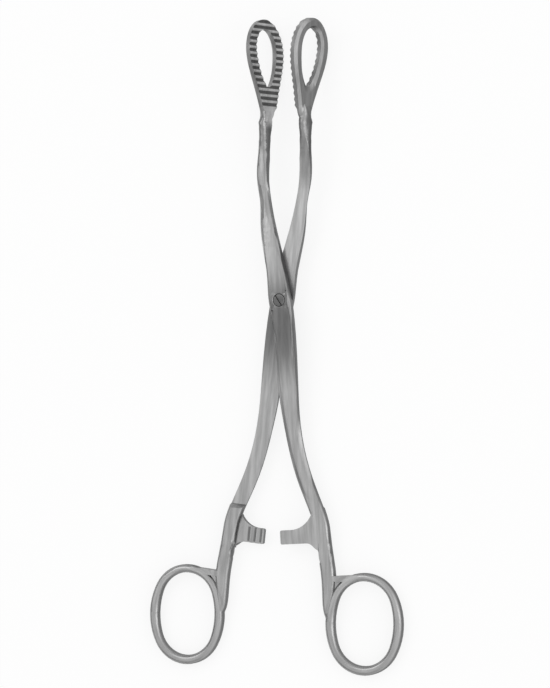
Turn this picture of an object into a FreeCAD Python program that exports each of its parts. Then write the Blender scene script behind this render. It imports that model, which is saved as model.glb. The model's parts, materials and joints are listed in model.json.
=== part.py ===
import FreeCAD, Part
import math
import os
import Sketcher

# Uterine polypus forceps, 25 cm: two crossed steel arms on a screwed half-lap joint.
# Each arm is one forging: a fenestrated jaw with a serrated face, a shank, its half of the lap,
# a ratchet bar and a finger ring.
#
# An arm is drawn closed, in its own frame: the screw axis is Z, the lap face is Z = 0, the
# instrument's length is Y with the jaw at the top, and the jaw lies left of the middle plane.
# The rear arm is the same drawing turned half round about Y.
# On the table the instrument lies on the front jaw's lower edge and on both finger rings.

SIZES = {
    # sections of the shank, from the jaw down to the finger ring
    "throat_reach": 76.0,
    "throat_offset": -1.6,
    "throat_width": 2.8,
    "throat_thick": 4.8,
    "neck_reach": 68.5,
    "neck_offset": -2.9,
    "neck_width": 3.8,
    "neck_thick": 4.5,
    "stem_reach": 58.0,
    "stem_offset": -3.9,
    "stem_width": 4.0,
    "stem_thick": 4.4,
    "shank_reach": 44.0,
    "shank_offset": -4.45,
    "shank_width": 4.5,
    "shank_thick": 4.5,
    "shoulder_reach": 31.0,
    "shoulder_offset": -3.6,
    "shoulder_width": 5.5,
    "shoulder_thick": 5.1,
    "collar_reach": 19.0,
    "collar_offset": -1.95,
    "collar_width": 6.7,
    "cheek_reach": 8.0,
    "cheek_offset": -0.55,
    "cheek_width": 8.0,
    "joint_width": 8.9,
    "joint_thick": 6.2,
    "joint_blank": 6.6,
    "belt_reach": -15.0,
    "belt_offset": 1.2,
    "belt_width": 7.9,
    "waist_reach": -29.0,
    "waist_offset": 1.15,
    "waist_width": 7.7,
    "waist_thick": 5.3,
    "crotch_reach": -43.0,
    "crotch_offset": 1.3,
    "crotch_width": 6.95,
    "crotch_thick": 4.6,
    "bow_reach": -56.0,
    "bow_offset": 2.7,
    "bow_width": 6.2,
    "bend_reach": -68.0,
    "bend_offset": 5.35,
    "heel_reach": -80.0,
    "heel_offset": 9.4,
    "grip_reach": -92.0,
    "grip_offset": 11.65,
    "root_reach": -104.0,
    "root_offset": 12.7,
    "handle_width": 6.1,
    "grip_width": 5.6,
    "handle_thick": 4.2,
    "flank_reach": -113.0,
    "flank_width": 4.7,
    "flank_overlap": 0.6,
    "tail_reach": -121.5,
    "tail_inset": 0.2,
    "tail_width": 3.5,
    "bar_round": 1.25,
    "joint_round": 0.8,
    # half-lap
    "lap_gap": 0.05,
    "lap_top": 46.0,
    "lap_top_ramp": 13.0,
    "lap_depth": 3.7,
    "lap_bottom": 79.5,
    "lap_bottom_ramp": 1.6,
    # jaw
    "jaw_twist": 19.5,
    "jaw_gap": 0.05,
    "jaw_thick": 3.1,
    "jaw_bevel": 1.0,
    "jaw_tip": 108.8,
    "jaw_widest": 96.6,
    "jaw_width": 19.4,
    "jaw_heel": 70.5,
    "jaw_heel_width": 6.0,
    "jaw_shoulder_drop": 7.5,
    "jaw_waist_rise": 13.5,
    "jaw_waist_width": 11.6,
    "toe_start": 75.0,
    "toe_foot": 69.0,
    "toe_depth": 1.3,
    # opening through the jaw
    "window_width": 11.3,
    "window_top": 105.0,
    "window_widest": 97.0,
    "window_bottom": 82.6,
    "window_bottom_width": 1.8,
    "window_shoulder_drop": 5.0,
    "window_foot_rise": 2.5,
    "window_foot_width": 6.8,
    "window_flare": 0.8,
    "window_runout": 3.2,
    # serrations
    "groove_pitch": 2.3,
    "groove_depth": 0.5,
    "groove_width": 2.12,
    "groove_count": 15,
    "groove_start": 75.7,
    # finger ring
    "ring_offset": 26.1,
    "ring_reach": 124.3,
    "ring_opening_width": 23.6,
    "ring_opening_length": 31.9,
    "ring_end_radius": 11.0,
    "ring_side": 3.7,
    "ring_top": 3.1,
    "ring_bottom": 3.5,
    "ring_thick": 4.4,
    "ring_round": 1.4,
    "notch_reach": 106.0,
    "rim_width": 1.9,
    "rim_thick": 3.6,
    "web_thick": 1.6,
    # ratchet bars
    "rack_reach": 90.5,
    "rack_height": 5.35,
    "rack_thick": 2.0,
    "rack_corner": 0.6,
    "front_rack_tip": 5.3,
    "front_rack_upper": 9.9,
    "front_rack_lower": 3.8,
    "rear_rack_tip": 2.3,
    "rear_rack_upper": 8.7,
    "rear_rack_lower": 3.3,
    "tooth_pitch": 2.47,
    "tooth_depth": 0.8,
    "tooth_slope": 2.35,
    "tooth_count": 3,
    "tooth_land": 0.7,
    # screw and its seats
    "head_diameter": 4.6,
    "head_thick": 1.3,
    "head_clearance": 0.14,
    "head_edge": 0.15,
    "slot_width": 0.8,
    "slot_depth": 0.7,
    "slot_turn": -50.0,
    "shoulder_diameter": 3.2,
    "running_clearance": 0.04,
    "thread_diameter": 2.6,
    "thread_clearance": 0.02,
    "hole_edge": 0.2,
    # opening at rest, between the arms
    "rest_opening": 9.74,
}

# Sections of the shank: name, width, thickness, corner and the share of the jaw's twist.
SECTIONS = [
    ("throat", "throat_width", "throat_thick", "joint_round", 1.0),
    ("neck", "neck_width", "neck_thick", "bar_round", 0.85),
    ("stem", "stem_width", "stem_thick", "bar_round", 0.4),
    ("shank", "shank_width", "shank_thick", "bar_round", 0.0),
    ("shoulder", "shoulder_width", "shoulder_thick", "bar_round", 0.0),
    ("collar", "collar_width", "joint_blank", "joint_round", 0.0),
    ("cheek", "cheek_width", "joint_blank", "joint_round", 0.0),
    ("joint", "joint_width", "joint_blank", "joint_round", 0.0),
    ("belt", "belt_width", "joint_blank", "joint_round", 0.0),
    ("waist", "waist_width", "waist_thick", "joint_round", 0.0),
    ("crotch", "crotch_width", "crotch_thick", "bar_round", 0.0),
    ("bow", "bow_width", "handle_thick", "bar_round", 0.0),
    ("bend", "bow_width", "handle_thick", "bar_round", 0.0),
    ("heel", "handle_width", "handle_thick", "bar_round", 0.0),
    ("grip", "grip_width", "handle_thick", "bar_round", 0.0),
    ("root", "grip_width", "handle_thick", "bar_round", 0.0),
]

START = 1
END = 2
CENTRE = 3
ORIGIN = -1
HORIZONTAL = -1
VERTICAL = -2
MARGIN = 5.0
OVERCUT = 0.5
SMALLEST_CUT = 1e-3
SAME_PLACE = 1e-4
FACET = 0.366

# Largest rounding on the finger ring, as a share of its thinnest bar.
RING_ROUNDING = 0.45
# The ring's flat lower face touches the table this share of the way out through its lowest bar.
RING_REST = 0.6
# Web between shank and ring, by angles round the ring and shares of the way through its bar.
WEB_SWEEP = (120, 140, 160, 175)
WEB_SHARE = 0.5
WEB_TOP_SHARE = 0.7
RIM_TOP = 102
RIM_FOOT = 118
RIM_OUTER_SHARE = 0.85

# A rounded edge in two facets, from the upper face to the lower: the share of the rounding that
# each line lies in from the side, and 1 plus its share down from the face, negative below.
ROUNDED_EDGE = [(1.0, 1.0), (FACET, 1.0 + FACET), (0.0, 2.0), (0.0, -2.0), (FACET, -1.0 - FACET),
                (1.0, -1.0)]

doc = FreeCAD.newDocument("polypus_forceps")
sheet = doc.addObject("Spreadsheet::Sheet", "Sizes")
for row, (alias, size) in enumerate(SIZES.items(), start=1):
    sheet.set(f"A{row}", str(size))
    sheet.setAlias(f"A{row}", alias)
doc.recompute()


def origin_plane(body, role):
    return [item for item in body.Origin.OriginFeatures if item.Role == role][0]


def sketch_on(body, name, role, axis=None):
    """Empty sketch on one of the body's own planes, turned about an axis of that plane."""
    sketch = body.newObject("Sketcher::SketchObject", name)
    sketch.AttachmentSupport = [(origin_plane(body, role), "")]
    sketch.MapMode = "FlatFace"
    if axis is not None:
        turn = FreeCAD.Rotation(FreeCAD.Vector(*axis), 1.0)
        sketch.AttachmentOffset = FreeCAD.Placement(FreeCAD.Vector(0, 0, 0), turn)
    return sketch


def shift(sketch, x=None, y=None, z=None, turn=None):
    """Places a sketch on its plane by rules that read the sizes."""
    for path, expression in (("Base.x", x), ("Base.y", y), ("Base.z", z), ("Rotation.Angle", turn)):
        if expression is not None:
            sketch.setExpression(f"AttachmentOffset.{path}", expression)


def rule(sketch, name, constraint, expression):
    """Adds a named constraint that follows the sizes."""
    index = sketch.addConstraint(constraint)
    sketch.renameConstraint(index, name)
    sketch.setExpression(f"Constraints.{name}", expression)


def line(x1, y1, x2, y2):
    return Part.LineSegment(FreeCAD.Vector(x1, y1, 0), FreeCAD.Vector(x2, y2, 0))


def arc(x, y, radius, start, end):
    """Arc of a circle, counterclockwise between two angles in degrees."""
    circle = Part.Circle(FreeCAD.Vector(x, y, 0), FreeCAD.Vector(0, 0, 1), radius)
    return Part.ArcOfCircle(circle, math.radians(start), math.radians(end))


def polygon(sketch, points):
    """Closed outline of straight lines."""
    for (x1, y1), (x2, y2) in zip(points, points[1:] + points[:1]):
        sketch.addGeometry(line(x1, y1, x2, y2))
    join_ends(sketch, len(points))


def join_ends(sketch, count):
    """Joins the end of each edge to the start of the next one."""
    for index in range(count):
        following = (index + 1) % count
        sketch.addConstraint(Sketcher.Constraint("Coincident", index, END, following, START))


def round_cornered_bar(sketch, wide, thick, corner):
    """Twelve-sided bar section about the sketch's origin: each corner is rounded in two facets.

    Every side turns 30 degrees from the last, so the long facets read as one ground, rounded edge.
    """
    x = SIZES[wide] / 2
    y = SIZES[thick] / 2
    r = SIZES[corner]
    k = FACET * r
    points = [(x - r, y), (x - k, y - k), (x, y - r), (x, r - y), (x - k, k - y), (x - r, -y),
              (r - x, -y), (k - x, k - y), (-x, r - y), (-x, y - r), (k - x, y - k), (r - x, y)]
    polygon(sketch, points)
    for first, second in ((0, 5), (1, 4), (2, 3)):
        mirrored = Sketcher.Constraint("Symmetric", first, START, second, START, HORIZONTAL)
        sketch.addConstraint(mirrored)
    for index in range(6):
        mirrored = Sketcher.Constraint("Symmetric", index, START, 11 - index, START, VERTICAL)
        sketch.addConstraint(mirrored)
    half_wide = f"Sizes.{wide} / 2"
    half_thick = f"Sizes.{thick} / 2"
    places = (("top", x - r, y, f"{half_wide} - Sizes.{corner}", half_thick),
              ("middle", x - k, y - k, f"{half_wide} - {FACET} * Sizes.{corner}",
               f"{half_thick} - {FACET} * Sizes.{corner}"),
              ("side", x, y - r, half_wide, f"{half_thick} - Sizes.{corner}"))
    for index, (name, across, up, across_rule, up_rule) in enumerate(places):
        rule(sketch, f"{name}_across",
             Sketcher.Constraint("DistanceX", ORIGIN, START, index, START, across), across_rule)
        rule(sketch, f"{name}_up",
             Sketcher.Constraint("DistanceY", ORIGIN, START, index, START, up), up_rule)


def oval(sketch, wide, long, end, drop):
    """Upright oval of four tangent arcs, its centre a drop below the sketch's origin.

    Each size is a pair: its value and the rule that reads it from the sizes.
    """
    a = wide[0] / 2
    b = long[0] / 2
    r = end[0]
    side = (a * a + (b - r) ** 2 - r * r) / (2 * (a - r))
    meet = math.degrees(math.atan2(b - r, side - a))
    first = sketch.addGeometry(arc(a - side, -drop[0], side, -meet, meet))
    sketch.addGeometry(arc(0, b - r - drop[0], r, meet, 180 - meet))
    sketch.addGeometry(arc(side - a, -drop[0], side, 180 - meet, 180 + meet))
    sketch.addGeometry(arc(0, r - b - drop[0], r, 180 + meet, 360 - meet))
    for index in range(4):
        following = first + (index + 1) % 4
        sketch.addConstraint(Sketcher.Constraint("Tangent", first + index, END, following, START))
    sketch.addConstraint(Sketcher.Constraint("Equal", first, first + 2))
    sketch.addConstraint(Sketcher.Constraint("Equal", first + 1, first + 3))
    for index in (1, 3):
        sketch.addConstraint(Sketcher.Constraint("PointOnObject", first + index, CENTRE, VERTICAL))
    rule(sketch, f"end{first}", Sketcher.Constraint("Radius", first + 1, r), end[1])
    rule(sketch, f"long{first}",
         Sketcher.Constraint("DistanceY", first + 3, CENTRE, first + 1, CENTRE, 2 * (b - r)),
         f"({long[1]}) - 2 * ({end[1]})")
    half = f"(({wide[1]}) / 2)"
    reach = f"(({long[1]}) / 2 - ({end[1]}))"
    rule(sketch, f"side{first}", Sketcher.Constraint("Radius", first, side),
         f"({half}^2 + {reach}^2 - ({end[1]})^2) / (2 * ({half} - ({end[1]})))")
    rule(sketch, f"drop{first}",
         Sketcher.Constraint("DistanceY", first + 3, CENTRE, ORIGIN, START, b - r + drop[0]),
         f"{reach} + {drop[1]}")


def spoon_outline(sketch, top, widest, half_width, bottom, half_bottom, shoulder, waist, half_waist):
    """Outline with a half-elliptic top and sides that sweep in to a narrow foot.

    The sketch's own X runs along the instrument. Each side is one cubic curve, held by a shoulder
    point below the widest place and a waist point above the foot.
    """
    centre = FreeCAD.Vector(widest, 0, 0)
    if top - widest >= half_width:
        crown = Part.Ellipse(FreeCAD.Vector(top, 0, 0), FreeCAD.Vector(widest, half_width, 0), centre)
        ends = (-math.pi / 2, math.pi / 2)
    else:
        crown = Part.Ellipse(FreeCAD.Vector(widest, half_width, 0), FreeCAD.Vector(2 * widest - top, 0, 0),
                             centre)
        ends = (-math.pi, 0.0)
    left = Part.BSplineCurve()
    left.buildFromPoles([FreeCAD.Vector(widest, half_width, 0), FreeCAD.Vector(shoulder, half_width, 0),
                         FreeCAD.Vector(waist, half_waist, 0), FreeCAD.Vector(bottom, half_bottom, 0)],
                        False, 3)
    right = Part.BSplineCurve()
    right.buildFromPoles([FreeCAD.Vector(bottom, -half_bottom, 0), FreeCAD.Vector(waist, -half_waist, 0),
                          FreeCAD.Vector(shoulder, -half_width, 0), FreeCAD.Vector(widest, -half_width, 0)],
                         False, 3)
    sketch.addGeometry(Part.ArcOfEllipse(crown, *ends))
    sketch.addGeometry(left)
    sketch.addGeometry(line(bottom, half_bottom, bottom, -half_bottom))
    sketch.addGeometry(right)


def loft(body, name, kind, sketches, ruled):
    feature = body.newObject(kind, name)
    feature.Profile = sketches[0]
    feature.Sections = sketches[1:]
    feature.Ruled = ruled
    body.Tip = feature
    doc.recompute()
    return feature


def pad(body, name, sketch, length, both_ways):
    feature = body.newObject("PartDesign::Pad", name)
    feature.Profile = sketch
    feature.Midplane = both_ways
    feature.setExpression("Length", length)
    body.Tip = feature
    doc.recompute()
    return feature


def pocket(body, name, sketch, length=None, reverse=False):
    """Cuts to a depth, or right through both ways, and stops if nothing was cut."""
    before = body.Shape.Volume
    feature = body.newObject("PartDesign::Pocket", name)
    feature.Profile = sketch
    feature.Reversed = reverse
    if length is None:
        feature.Type = "ThroughAll"
        feature.Midplane = True
    else:
        feature.setExpression("Length", length)
    body.Tip = feature
    doc.recompute()
    if body.Shape.Volume > before - SMALLEST_CUT:
        raise RuntimeError(f"{name} cuts nothing")
    return feature


def repeat(body, name, feature, axis_role, length, count):
    pattern = body.newObject("PartDesign::LinearPattern", name)
    pattern.Originals = [feature]
    pattern.Direction = (origin_plane(body, axis_role), [""])
    pattern.setExpression("Length", length)
    pattern.setExpression("Occurrences", count)
    body.Tip = pattern
    doc.recompute()
    return pattern


# Finger ring

def ring_oval(body, name, share_in, share_down, outside):
    """Oval edge of the ring's bar, share_in of the rounding in from the full bar width."""
    rounding = min(SIZES["ring_round"], RING_ROUNDING * SIZES["ring_top"])
    rounding_rule = f"min(Sizes.ring_round; {RING_ROUNDING} * Sizes.ring_top)"
    sketch = sketch_on(body, name, "XY_Plane", (0, 0, 1))
    side = 1 if share_down > 0 else -1
    shift(sketch, x="Sizes.ring_offset", y="-Sizes.ring_reach", turn="-Sizes.rest_opening / 2",
          z=f"{side} * (Sizes.ring_thick / 2 - {abs(share_down) - 1} * {rounding_rule})")
    bars = SIZES["ring_top"] + SIZES["ring_bottom"]
    if outside:
        inset = -share_in * rounding
        inset_rule = f"{-share_in} * {rounding_rule}"
        wide = SIZES["ring_opening_width"] + 2 * SIZES["ring_side"]
        wide_rule = "Sizes.ring_opening_width + 2 * Sizes.ring_side"
        long = SIZES["ring_opening_length"] + bars
        long_rule = "Sizes.ring_opening_length + Sizes.ring_top + Sizes.ring_bottom"
        end = SIZES["ring_end_radius"] + bars / 2
        end_rule = "Sizes.ring_end_radius + (Sizes.ring_top + Sizes.ring_bottom) / 2"
        drop = (SIZES["ring_bottom"] - SIZES["ring_top"]) / 2
        drop_rule = "(Sizes.ring_bottom - Sizes.ring_top) / 2"
    else:
        inset = share_in * rounding
        inset_rule = f"{share_in} * {rounding_rule}"
        wide = SIZES["ring_opening_width"]
        wide_rule = "Sizes.ring_opening_width"
        long = SIZES["ring_opening_length"]
        long_rule = "Sizes.ring_opening_length"
        end = SIZES["ring_end_radius"]
        end_rule = "Sizes.ring_end_radius"
        drop = 0.0
        drop_rule = "0"
    oval(sketch, (wide + 2 * inset, f"{wide_rule} + 2 * ({inset_rule})"),
         (long + 2 * inset, f"{long_rule} + 2 * ({inset_rule})"),
         (end + inset, f"{end_rule} + {inset_rule}"), (drop, drop_rule))
    return sketch


def finger_ring(body):
    """Oval ring of round-edged bar, its long axis upright when the instrument is at rest."""
    for outside, kind, name in ((True, "PartDesign::AdditiveLoft", "ring"),
                                (False, "PartDesign::SubtractiveLoft", "ring_opening")):
        ovals = []
        for index, (share_in, share_down) in enumerate(ROUNDED_EDGE):
            ovals.append(ring_oval(body, f"{name}_oval_{index}", share_in, share_down, outside))
        loft(body, name, kind, ovals, True)


def ring_point(angle, share):
    """Point on the ring's bar: share 0 is its inner edge and 1 its outer edge."""
    turn = math.radians(-SIZES["rest_opening"] / 2)
    bars = (SIZES["ring_top"] + SIZES["ring_bottom"]) / 2
    drop = (SIZES["ring_bottom"] - SIZES["ring_top"]) / 2
    across = SIZES["ring_opening_width"] / 2 + share * SIZES["ring_side"]
    along = SIZES["ring_opening_length"] / 2 + share * bars
    x = across * math.cos(math.radians(angle))
    y = along * math.sin(math.radians(angle)) - share * drop
    return (SIZES["ring_offset"] + x * math.cos(turn) - y * math.sin(turn),
            x * math.sin(turn) + y * math.cos(turn) - SIZES["ring_reach"])


def ring_web(body):
    """Thin web in the corner between shank and ring, closed at the top by a thicker rim."""
    notch = -SIZES["notch_reach"]
    inside_shank = SIZES["root_offset"]
    sweep = [ring_point(angle, WEB_SHARE) for angle in WEB_SWEEP]
    sketch = sketch_on(body, "web_sketch", "XY_Plane")
    foot = (sweep[-1][0] - SIZES["ring_side"] / 4, sweep[-1][1])
    polygon(sketch, [(inside_shank, notch - SIZES["rim_width"] / 2), ring_point(RIM_TOP, WEB_TOP_SHARE)]
            + sweep + [foot])
    pad(body, "web", sketch, "Sizes.web_thick", True)
    rim = sketch_on(body, "rim_sketch", "XY_Plane")
    polygon(rim, [(inside_shank, notch), ring_point(RIM_TOP, RIM_OUTER_SHARE),
                  ring_point(RIM_TOP, WEB_SHARE), ring_point(RIM_FOOT, WEB_SHARE),
                  (inside_shank, notch - SIZES["rim_width"])])
    pad(body, "rim", rim, "Sizes.rim_thick", True)


# Shank

def shank_sections(body):
    """Cross-sections of the forged bar, square to the instrument's length."""
    sketches = []
    for place, wide, thick, corner, share in SECTIONS:
        sketch = sketch_on(body, f"{place}_section", "XZ_Plane", (0, 0, 1))
        round_cornered_bar(sketch, wide, thick, corner)
        if place == "joint":
            shift(sketch, turn="0")
        else:
            twist = f"{share} * Sizes.jaw_twist"
            shift(sketch, x=f"Sizes.{place}_offset * cos({twist})",
                  y=f"Sizes.{place}_offset * sin({twist})",
                  z=f"-Sizes.{place}_reach", turn=twist)
        sketches.append(sketch)
    return sketches


def ring_side_sections(body):
    """Last two sections, which bring the bar into the ring's inner side."""
    side = "Sizes.ring_offset - Sizes.ring_opening_width / 2 - Sizes.ring_side"
    flank = sketch_on(body, "flank_section", "XZ_Plane")
    round_cornered_bar(flank, "flank_width", "handle_thick", "bar_round")
    shift(flank, x=f"{side} - Sizes.flank_overlap + Sizes.flank_width / 2", z="-Sizes.flank_reach")
    tail = sketch_on(body, "tail_section", "XZ_Plane")
    round_cornered_bar(tail, "tail_width", "handle_thick", "bar_round")
    shift(tail, x=f"{side} + Sizes.tail_inset + Sizes.tail_width / 2", z="-Sizes.tail_reach")
    return [flank, tail]


def shank(body):
    sketches = shank_sections(body) + ring_side_sections(body)
    loft(body, "shank", "PartDesign::AdditiveLoft", sketches, False)


# Jaw

def jaw_sketch(body, name, depth):
    """Sketch parallel to the jaw's face, a depth behind it. Its X runs to the jaw's tip."""
    sketch = sketch_on(body, name, "YZ_Plane", (1, 0, 0))
    shift(sketch, y=f"-({depth}) * sin(Sizes.jaw_twist)", z=f"-({depth}) * cos(Sizes.jaw_twist)",
          turn="-Sizes.jaw_twist")
    return sketch


def jaw_outline(body, name, depth, inset):
    sketch = jaw_sketch(body, name, depth)
    spoon_outline(sketch, SIZES["jaw_tip"] - inset, SIZES["jaw_widest"], SIZES["jaw_width"] / 2 - inset,
                  SIZES["jaw_heel"], SIZES["jaw_heel_width"] / 2 - inset,
                  SIZES["jaw_widest"] - SIZES["jaw_shoulder_drop"],
                  SIZES["jaw_heel"] + SIZES["jaw_waist_rise"], SIZES["jaw_waist_width"] / 2 - inset)
    return sketch


def window_outline(body, name, depth, flare, runout):
    sketch = jaw_sketch(body, name, depth)
    bottom = SIZES["window_bottom"] - runout
    spoon_outline(sketch, SIZES["window_top"] + flare, SIZES["window_widest"],
                  SIZES["window_width"] / 2 + flare, bottom, SIZES["window_bottom_width"] / 2,
                  SIZES["window_widest"] - SIZES["window_shoulder_drop"],
                  bottom + SIZES["window_foot_rise"], SIZES["window_foot_width"] / 2 + flare)
    return sketch


def jaw_plate(body):
    """Plate with a square-edged face and a bevelled back, then the opening through it."""
    face = "Sizes.jaw_gap"
    brow = "Sizes.jaw_gap + Sizes.jaw_thick - Sizes.jaw_bevel"
    back = "Sizes.jaw_gap + Sizes.jaw_thick"
    outlines = [jaw_outline(body, "jaw_face", face, 0.0), jaw_outline(body, "jaw_brow", brow, 0.0),
                jaw_outline(body, "jaw_back", back, SIZES["jaw_bevel"])]
    loft(body, "jaw", "PartDesign::AdditiveLoft", outlines, True)
    spread = (SIZES["jaw_bevel"] + OVERCUT) / SIZES["jaw_bevel"]
    cut = [window_outline(body, "window_face", f"-{OVERCUT}", 0.0, 0.0),
           window_outline(body, "window_brow", brow, 0.0, 0.0),
           window_outline(body, "window_back", f"{back} + {OVERCUT}", spread * SIZES["window_flare"],
                          spread * SIZES["window_runout"])]
    loft(body, "window", "PartDesign::SubtractiveLoft", cut, True)


def jaw_profile(body, name):
    """Sketch square to the jaw's face: X points out of the face, Y runs to the jaw's tip."""
    sketch = sketch_on(body, name, "XY_Plane", (0, 1, 0))
    shift(sketch, turn="-Sizes.jaw_twist")
    return sketch


def jaw_serrations(body):
    """Straight grooves across the face, and the slope where the face leaves the neck."""
    face = -SIZES["jaw_gap"]
    toe = jaw_profile(body, "toe_sketch")
    foot = SIZES["toe_foot"]
    polygon(toe, [(face + OVERCUT, SIZES["toe_start"]), (face, SIZES["toe_start"]),
                  (face - SIZES["toe_depth"], foot), (face + OVERCUT, foot)])
    pocket(body, "toe", toe)
    middle = SIZES["groove_start"]
    half = SIZES["groove_width"] / 2 * (1 + OVERCUT / SIZES["groove_depth"])
    sketch = jaw_profile(body, "groove_sketch")
    polygon(sketch, [(face + OVERCUT, middle + half), (face - SIZES["groove_depth"], middle),
                     (face + OVERCUT, middle - half)])
    groove = pocket(body, "groove", sketch)
    repeat(body, "grooves", groove, "Y_Axis",
           "Sizes.groove_pitch * (Sizes.groove_count - 1)", "Sizes.groove_count")


# Ratchet bar

def ratchet_bar(body, arm):
    """Flat bar that reaches across to the other arm, with one-way teeth on its inner face."""
    tip = -SIZES[f"{arm}_rack_tip"]
    upper = SIZES[f"{arm}_rack_upper"]
    lower = SIZES[f"{arm}_rack_lower"]
    corner = SIZES["rack_corner"]
    middle = -SIZES["rack_reach"]
    top = middle + SIZES["rack_height"] / 2
    bottom = middle - SIZES["rack_height"] / 2
    edge = SIZES["grip_offset"] - SIZES["grip_width"] / 2
    root = edge + SIZES["bar_round"]
    sketch = sketch_on(body, "rack_sketch", "XY_Plane")
    shift(sketch, z="Sizes.lap_gap")
    outline = [line(tip + corner, bottom, edge - lower, bottom),
               arc(edge - lower, bottom - lower, lower, 0, 90),
               line(edge, bottom - lower, root, bottom - lower),
               line(root, bottom - lower, root, top + upper),
               line(root, top + upper, edge, top + upper),
               arc(edge - upper, top + upper, upper, 270, 360),
               line(edge - upper, top, tip + corner, top),
               arc(tip + corner, top - corner, corner, 90, 180),
               line(tip, top - corner, tip, bottom + corner),
               arc(tip + corner, bottom + corner, corner, 180, 270)]
    for edge_line in outline:
        sketch.addGeometry(edge_line)
    pad(body, "rack", sketch, "Sizes.rack_thick", False)
    teeth = sketch_on(body, "tooth_sketch", "XZ_Plane")
    first = tip + SIZES["tooth_land"]
    floor = SIZES["lap_gap"] + SIZES["tooth_depth"]
    shift(teeth, z="Sizes.rack_reach")
    polygon(teeth, [(first, SIZES["lap_gap"] - OVERCUT), (first, floor),
                    (first + SIZES["tooth_slope"], SIZES["lap_gap"] - OVERCUT)])
    feature = body.newObject("PartDesign::Pocket", "tooth")
    feature.Profile = teeth
    feature.Midplane = True
    feature.setExpression("Length", f"Sizes.rack_height + {OVERCUT}")
    body.Tip = feature
    doc.recompute()
    repeat(body, "teeth", feature, "X_Axis", "Sizes.tooth_pitch * (Sizes.tooth_count - 1)",
           "Sizes.tooth_count")


# Half-lap and screw seats

def half_lap(body):
    """Grinds the outer face flat and takes the rear half away, with a slope at each end."""
    outer = SIZES["joint_thick"] / 2
    ground = sketch_on(body, "joint_face_sketch", "YZ_Plane")
    polygon(ground, [(-SIZES["lap_bottom"], outer), (SIZES["lap_top"], outer),
                     (SIZES["lap_top"], outer + MARGIN), (-SIZES["lap_bottom"], outer + MARGIN)])
    pocket(body, "joint_face", ground)
    gap = SIZES["lap_gap"]
    depth = -SIZES["lap_depth"]
    top = SIZES["lap_top"]
    bottom = -SIZES["lap_bottom"]
    half = SIZES["handle_thick"] / 2
    top_slope = SIZES["lap_top_ramp"] / half * (gap - depth)
    bottom_slope = SIZES["lap_bottom_ramp"] / half * (gap - depth)
    sketch = sketch_on(body, "lap_sketch", "YZ_Plane")
    polygon(sketch, [(top, gap), (bottom, gap), (bottom - bottom_slope, depth), (top + top_slope, depth)])
    pocket(body, "lap", sketch)


def round_hole(body, name, diameter, depth=None, face=None):
    """Round hole on the screw axis: right through, or to a depth below the arm's outer face."""
    sketch = sketch_on(body, f"{name}_sketch", "XY_Plane")
    circle = Part.Circle(FreeCAD.Vector(0, 0, 0), FreeCAD.Vector(0, 0, 1), 1.0)
    sketch.addGeometry(circle)
    sketch.addConstraint(Sketcher.Constraint("Coincident", 0, CENTRE, ORIGIN, START))
    rule(sketch, "diameter", Sketcher.Constraint("Diameter", 0, 2.0), diameter)
    if face is not None:
        shift(sketch, z=face)
    return pocket(body, name, sketch, depth)


def hole_rim(body, name, base, radius, height, size):
    """Small chamfer round a hole's rim at one height."""
    def rim(edge):
        if not hasattr(edge.Curve, "Radius"):
            return False
        box = edge.BoundBox
        level = abs(box.ZMin - height) < SAME_PLACE and abs(box.ZMax - height) < SAME_PLACE
        return level and abs(edge.Curve.Radius - radius) < SAME_PLACE
    edges = [f"Edge{i}" for i, edge in enumerate(base.Shape.Edges, start=1) if rim(edge)]
    feature = body.newObject("PartDesign::Chamfer", name)
    feature.Base = (base, edges)
    feature.setExpression("Size", size)
    body.Tip = feature
    doc.recompute()


def screw_seat(body):
    """Front arm: a running bore for the screw's shoulder and a recess for its head."""
    outer = SIZES["joint_thick"] / 2
    round_hole(body, "shoulder_bore", "Sizes.shoulder_diameter + 2 * Sizes.running_clearance")
    recess = round_hole(body, "head_recess", "Sizes.head_diameter + 2 * Sizes.head_clearance",
                        "Sizes.head_thick", "Sizes.joint_thick / 2")
    hole_rim(body, "recess_rim", recess, SIZES["head_diameter"] / 2 + SIZES["head_clearance"], outer,
             "Sizes.hole_edge")


def screw_thread_hole(body):
    """Rear arm: the hole that the screw's end is threaded into."""
    hole = round_hole(body, "thread_hole", "Sizes.thread_diameter + 2 * Sizes.thread_clearance")
    hole_rim(body, "thread_rim", hole, SIZES["thread_diameter"] / 2 + SIZES["thread_clearance"],
             SIZES["joint_thick"] / 2, "Sizes.hole_edge")


def arm(name, seat):
    body = doc.addObject("PartDesign::Body", f"{name}_arm")
    body.Label = f"{name}_arm"
    finger_ring(body)
    ring_web(body)
    shank(body)
    jaw_plate(body)
    jaw_serrations(body)
    ratchet_bar(body, name)
    half_lap(body)
    seat(body)
    return body


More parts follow.
